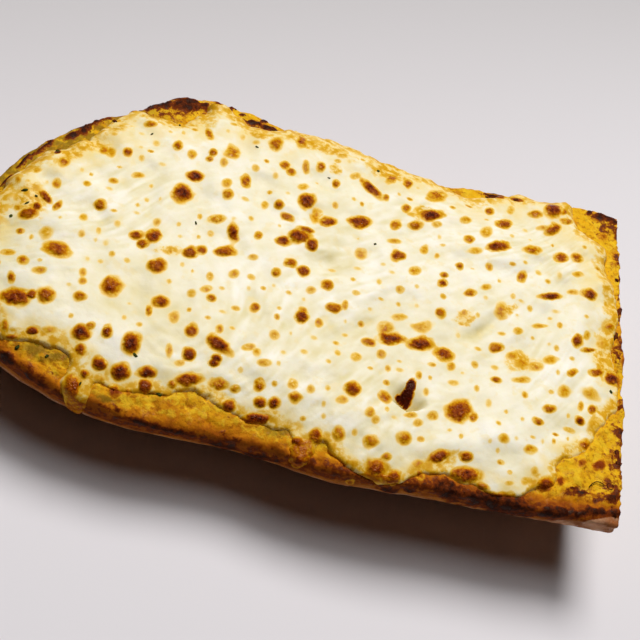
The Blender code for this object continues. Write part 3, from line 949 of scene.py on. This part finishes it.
def bread_relief(skin, rim, covered):
    """Lumps, pores and wrinkles of the bare bread, and its sinking under the melt."""
    s, t = skin.s, skin.t
    pore, own = cells(s, t, 0.0024, 20)
    small, kind = cells(s, t, 0.0012, 21)
    pores = 0.0005 * (own > 0.70) * ramp(-pore, -0.40, -0.10)
    pores = pores + 0.0003 * (kind > 0.60) * ramp(-small, -0.42, -0.12)
    lumps = rough(s, t, (0.0004, 0.0050, 22), (0.0002, 0.0021, 23))
    grain = rough(s, t, (0.0001, 0.0010, 24))
    crumb = (1.0 - covered) * ramp(rim, -0.003, 0.001)
    crust = 1.0 - ramp(rim, -0.006, -0.003)
    lift = crumb * (lumps + grain - pores * ramp(rim, 0.0, 0.002)) + crust * 0.4 * lumps
    return lift - 0.0010 * covered


def bread_looks(skin, bare, rim):
    """The numbers that the bread's material is coloured by, and how far its blisters stand up."""
    s, t = skin.s, skin.t
    wobble = rough(s, t, (0.25, 0.0016, 25), (0.15, 0.0008, 26))
    near_side = skin.girth < 0.5 * skin.top
    rim_mm = (rim - np.where(near_side, np.interp(s, BURN_AT, BURN_LIFT) * MM, -0.0002)) / MM
    char = 0.48 * near_side * ramp(rim_mm, -4.4, -3.4) * (1.0 - ramp(rim_mm, -1.4, 0.2))
    stroke(char, skin, bare, CHAR, 0.4, 1.3, wobble, 0.80)
    stroke(char, skin, bare, RUST, 0.3, 1.4, 1.5 * wobble, 0.42)
    singed = ramp(s, CUT_X - 0.0025, CUT_X) * ramp(noise(t, t, 0.0045, 29), -0.2, 0.5)
    toast, dome = paint_blisters(skin, bare, wobble)
    wet_and_shadow = np.zeros(s.shape)
    stroke(wet_and_shadow, skin, bare, WET_AND_SHADOW, 0.5, 1.2, wobble)
    far_heel = (1.0 - ramp(s, -0.048, -0.030)) * (skin.girth > 0.6 * skin.top)
    warm = (1.0 - ramp(s, 0.030, 0.056)) * (1.0 - ramp(skin.girth / skin.top, 0.2, 0.5))
    crust_from = np.interp(s, CRUST_AT, CRUST_LINE) * MM
    looks = {
        "rim": rim_mm,
        "char": np.maximum(char, 0.55 * singed),
        "wet_and_shadow": np.maximum(wet_and_shadow, far_heel * ramp(rim, -0.0045, -0.0010)),
        "warm": warm * (rim > -0.008),
        "toast": toast,
        "crust": near_side * ramp(crust_from - rim, -0.0005, 0.0005),
    }
    return looks, dome


def slice_rings(ring):
    """Rings that close the slice's face towards a line along its middle, with pores, and their inset."""
    spine_y = np.clip(ring[:, 1], -0.036, 0.032)
    spine = np.stack([CUT_X + CUT_SKEW * spine_y, spine_y, np.full(len(ring), SLICE_CENTRE_Z)], axis=-1)
    inner = ring + (spine - ring) * np.linspace(0.0, 1.0, SLICE_RINGS)[1:, None, None]
    inset = np.linalg.norm(inner - ring, axis=-1)
    hole, own = cells(inner[..., 1], inner[..., 2], 0.0030, 28)
    inner[..., 0] -= 0.0011 * (own > 0.45) * ramp(-hole, -0.45, -0.10) * ramp(inset, 0.0005, 0.0020)
    return inner, inset


def loaf_map(skin, ring, inner, faces):
    """The skin laid out flat, with the slice's face beside it."""
    rows, columns = skin.s.shape
    flat = np.stack([skin.s - TIP_X, skin.girth + 0.075], axis=-1).reshape(-1, 2) / LOAF_MAP
    face, edge = (
        np.stack([0.62 + (at[..., 1] + 0.048) / LOAF_MAP, at[..., 2] / LOAF_MAP], axis=-1).reshape(-1, 2)
        for at in (inner, ring)
    )
    uv = np.concatenate([flat, face])[faces.ravel()]
    first, count = 4 * (rows - 1) * (columns - 1), 4 * (columns - 1)
    joint = faces.ravel()[first : first + count]
    on_edge = joint < rows * columns
    uv[first : first + count][on_edge] = edge[joint[on_edge] - (rows - 1) * columns]
    return np.concatenate([uv, flat[:columns]])


def make_bread(bare, outline, lip, material):
    """The loaf: its skin from heel to slice, and the slice's face closed by shrinking rings."""
    tip = TIP_X + 0.004 * np.linspace(0.02, 1.0, 12)[:-1] ** 2
    skin = Skin(np.concatenate([tip, np.linspace(TIP_X + 0.004, CUT_X, 331)]), bread_columns)
    s, t = skin.s, skin.t
    rim = np.minimum(skin.girth, skin.top - skin.girth)
    covered = ramp(inside_distance(skin, outline), -0.0003, 0.0008) * (rim > -0.005)
    looks, dome = bread_looks(skin, bare, rim)
    lift = bread_relief(skin, rim, covered) + (0.0005 * looks["char"] + dome) * (1.0 - covered)
    foot = ramp(skin.at[..., 2], 0.0002, 0.0020)
    at = skin.at + skin.normal * (lift * foot)[..., None]
    at[..., 2] -= np.where(rim > 0.0, pit_sink(s, t, lip), 0.0)
    at[..., 2] = np.maximum(at[..., 2], 0.0)
    at[..., 0] += SLICE_BULGE * ramp(s, CUT_X - 0.006, CUT_X) * ramp(at[..., 1], -0.040, -0.020)
    tuck = ramp(s, 0.010, CUT_X) * ramp(-skin.girth, 0.002, 0.009) * ramp(at[..., 2], 0.0, 0.004)
    at += tuck[..., None] * np.array(TUCK)
    at[..., 0] -= TUCK_BACK * tuck * ramp(s, CUT_X - 0.005, CUT_X)
    at[-1, :, 0] += 0.0003 * foot[-1] * noise(t[-1], t[-1], 0.0012, 27)
    rows, columns = s.shape
    inner, inset = slice_rings(at[-1])
    points = np.concatenate([at.reshape(-1, 3), inner.reshape(-1, 3)])
    faces = quads(rows + len(inner), columns)
    fade = 1.0 - ramp(inset, 0.0, 0.0015)
    values = {key: np.concatenate([value, value[-1] * fade]).ravel() for key, value in looks.items()}
    values["inset"] = np.concatenate([np.zeros(s.size), inset.ravel() / MM])
    uv = loaf_map(skin, at[-1], inner, faces)
    faces = [*faces.tolist(), list(range(columns))]
    mesh_piece("loaf", points, faces, values, uv, material, "bread")


def lump(rng, radii, place, turn):
    """Points and faces of a small uneven lump."""
    rings, sides = 6, 8
    points, faces = [], []
    for polar in np.pi * np.arange(1, rings) / rings:
        for around in 2.0 * np.pi * np.arange(sides) / sides:
            out = np.array([np.sin(polar) * np.cos(around), np.sin(polar) * np.sin(around), np.cos(polar)])
            points.append(out * rng.uniform(0.65, 1.25))
    points += [np.array([0.0, 0.0, 1.0]), np.array([0.0, 0.0, -1.0])]
    last = (rings - 2) * sides
    for j in range(sides):
        k = (j + 1) % sides
        for i in range(0, last, sides):
            faces.append((i + j, i + sides + j, i + sides + k, i + k))
        faces.append((len(points) - 2, j, k))
        faces.append((len(points) - 1, last + k, last + j))
    return np.array(points) * radii @ turn.T + place, faces


def upright(normal, spin):
    """Axes of something that lies on a surface, turned by spin about its normal."""
    side = unit(np.cross(normal, (0.3, 1.0, 0.2)))
    other = np.cross(normal, side)
    along = np.cos(spin) * side + np.sin(spin) * other
    return np.stack([along, np.cos(spin) * other - np.sin(spin) * side, normal], 1)


def front_most(sights, x, y):
    """The place and normal that show at a pixel, of all the surfaces."""
    hits = [sight.meet(x, y)[:2] for sight in sights]
    return min(hits, key=lambda hit: np.linalg.norm(hit[0] - EYE))


def scatter_piece(name, lumps, material):
    """One piece out of many small lumps."""
    points, faces, start = [], [], 0
    for at, ring in lumps:
        points.append(at)
        faces += [tuple(k + start for k in face) for face in ring]
        start += len(at)
    mesh_piece(name, np.concatenate(points), faces, {}, None, material, None)


def make_herbs(sights, material):
    rng = np.random.default_rng(SEED + 30)
    lumps = []
    for x, y in FLECKS:
        place, normal = front_most(sights, x, y)
        radii = np.array([rng.uniform(0.35, 0.75), rng.uniform(0.20, 0.40), 0.07]) * MM
        turn = upright(normal, rng.uniform(0.0, np.pi))
        lumps.append(lump(rng, radii, place + normal * 0.05 * MM, turn))
    scatter_piece("herb_flecks", lumps, material)


def tube(line, radius, sides=6):
    """Points and faces of a thin closed rod along a line."""
    line = np.array(line)
    points, faces = [], []
    for place, ahead in zip(line, unit(np.gradient(line, axis=0))):
        one = unit(np.cross(ahead, (0.1, 0.2, 1.0)))
        two = np.cross(ahead, one)
        for around in 2.0 * np.pi * np.arange(sides) / sides:
            points.append(place + radius * (np.cos(around) * one + np.sin(around) * two))
    last = (len(line) - 1) * sides
    for i in range(0, last, sides):
        for j in range(sides):
            k = (j + 1) % sides
            faces.append((i + j, i + k, i + sides + k, i + sides + j))
    faces += [tuple(range(sides))[::-1], tuple(range(last, last + sides))]
    return np.array(points), faces


def make_crumbs(sights, material):
    """Burnt bubbles along the rims, with the little stem and ring near the slice."""
    rng = np.random.default_rng(SEED + 31)
    lumps = []
    for x, y, size in CRUMBS:
        place, normal = front_most(sights, x, y)
        radii = np.array([rng.uniform(0.5, 0.7), rng.uniform(0.35, 0.5), rng.uniform(0.25, 0.35)])
        turn = upright(normal, rng.uniform(0.0, np.pi))
        lumps.append(lump(rng, radii * size * MM, place - 0.1 * size * MM * normal, turn))
    stem = [front_most(sights, x, y) for x, y in STEM]
    lumps.append(tube([place + normal * 0.25 * MM for place, normal in stem], STEM_RADIUS))
    x, y, radius = RING
    place, normal = front_most(sights, x, y)
    turn = upright(normal, 0.0)
    angles = np.linspace(0.0, 2.0 * np.pi, 15)
    circle = [place + (turn @ (np.cos(a), np.sin(a), 0.25)) * radius * MM for a in angles]
    lumps.append(tube(circle, RING_THICKNESS))
    scatter_piece("burnt_crumbs", lumps, material)


def floor():
    """A plain pale floor, with painted shade that darkens it far behind the loaf and to its left."""
    mesh = bpy.data.meshes.new("floor")
    corners = [(FLOOR_SIDE * x, FLOOR_SIDE * y, 0.0) for x, y in ((-1, -1), (1, -1), (1, 1), (-1, 1))]
    mesh.from_pydata(corners, [], [(0, 1, 2, 3)])
    n = Nodes("floor")
    apart = n.add("ShaderNodeSeparateXYZ")
    n.put(apart.inputs[0], n.place)
    # Painted shade: the floor's colour falls from pale to grey towards the back and the left.
    behind = n.plus(apart.outputs["Y"], n.times(apart.outputs["X"], -0.35))
    colour = n.mix(n.remap(behind, 0.0, 0.22), (0.720, 0.695, 0.720), (0.398, 0.385, 0.385))
    n.shade(Base_Color=colour, Roughness=0.8, Specular_IOR_Level=0.2)
    mesh.materials.append(n.material)
    show("floor", mesh)


def lights():
    """A soft key high behind the loaf, a broader light above it and a faint one in front."""
    world = bpy.data.worlds.new("world")
    bpy.context.scene.world = world
    world.use_nodes = True
    background = world.node_tree.nodes["Background"]
    background.inputs["Color"].default_value = (0.95, 0.97, 1.0, 1.0)
    background.inputs["Strength"].default_value = 0.003
    for name, place, aim, size, watts, colour in LIGHTS:
        data = bpy.data.lights.new(name, "AREA")
        data.shape = "DISK"
        data.size = size
        data.energy = watts
        data.color = colour
        light = show(name, data)
        light.location = place
        light.rotation_euler = (Vector(aim) - Vector(place)).to_track_quat("-Z", "Y").to_euler()


def sighted_columns(s, top, lowest, highest):
    """Girths over the cut side and half-way down both flanks."""
    return np.linspace(0.5 * lowest, top + 0.5 * (highest - top), 160)


camera()
floor()
lights()
bare_loaf = Sight(Skin(np.linspace(TIP_X + 0.0005, CUT_X, 150), sighted_columns))
margin = cheese_outline(bare_loaf)
melt, pit_lip = make_cheese(margin, cheese_material())
make_bread(bare_loaf, margin, pit_lip, bread_material())
surfaces = (bare_loaf, melt)
make_herbs(surfaces, dark_material("dried_herb", (0.018, 0.022, 0.004), (0.070, 0.076, 0.012), 0.9))
make_crumbs(surfaces, dark_material("burnt_crumb", (0.030, 0.008, 0.003), (0.140, 0.028, 0.004), 0.7))
bpy.context.scene.view_settings.view_transform = "Standard"
